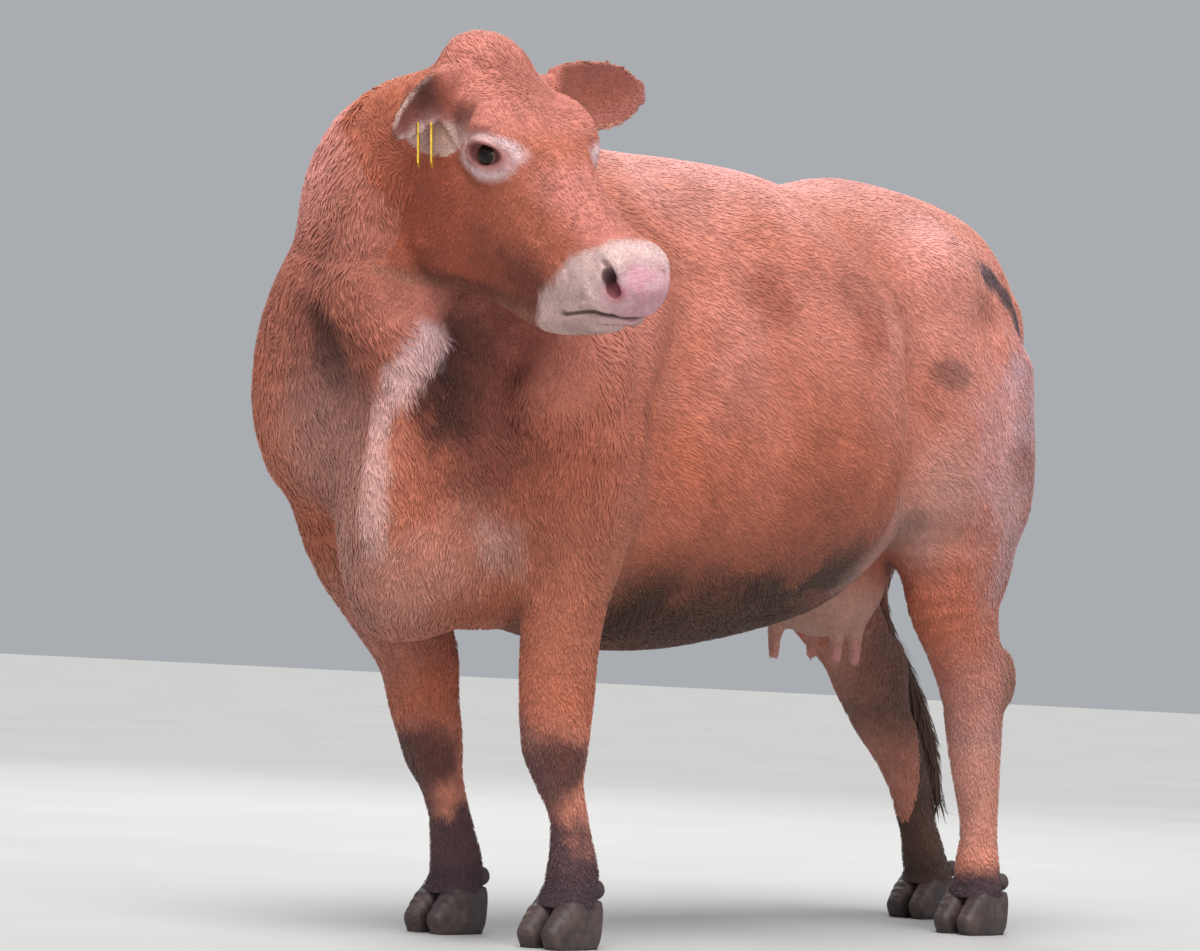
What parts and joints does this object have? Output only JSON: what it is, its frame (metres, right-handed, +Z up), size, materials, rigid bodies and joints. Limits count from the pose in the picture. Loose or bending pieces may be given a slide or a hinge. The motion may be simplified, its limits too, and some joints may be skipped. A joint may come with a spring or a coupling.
{
  "type": "cow",
  "caption": "Standing red-brown polled beef cow as a still life-size figure, head turned to its left, with udder and plain ear tags.",
  "frame": {"origin": "centre of the bounding box on the ground under the claws", "axes": "+Z up, the body faces -Y, +X is the animal's left"},
  "size_m": [0.9074, 1.9981, 1.4369],
  "materials": {
    "hide": "warm red-brown short coat",
    "hide_dark": "darker red-brown, longer wavy coat",
    "hide_mud": "coat with dried mud",
    "bare_skin": "bare pinkish skin",
    "horn": "dark claw horn, satin",
    "eye": "wet, glossy",
    "tag": "plain yellow ear tag"
  },
  "bodies": {
    "root": {"head": "hide", "neck": "hide_dark", "chest": "hide", "barrel": "hide", "hindquarters": "hide", "ear_left": "hide", "ear_right": "hide", "eye_left": "eye", "eye_right": "eye", "tail": "hide", "tail_switch": "hide_dark", "udder": "bare_skin", "ear_tag_front": "tag", "ear_tag_rear": "tag", "foreleg_left_forearm": "hide", "foreleg_left_cannon": "hide", "foreleg_left_pastern": "hide_mud", "foreleg_left_claw_left": "horn", "foreleg_left_claw_right": "horn", "foreleg_right_forearm": "hide", "foreleg_right_cannon": "hide", "foreleg_right_pastern": "hide_mud", "foreleg_right_claw_left": "horn", "foreleg_right_claw_right": "horn", "hindleg_left_gaskin": "hide", "hindleg_left_cannon": "hide", "hindleg_left_pastern": "hide_mud", "hindleg_left_claw_left": "horn", "hindleg_left_claw_right": "horn", "hindleg_right_gaskin": "hide", "hindleg_right_cannon": "hide", "hindleg_right_pastern": "hide_mud", "hindleg_right_claw_left": "horn", "hindleg_right_claw_right": "horn"}
  },
  "joints": []
}
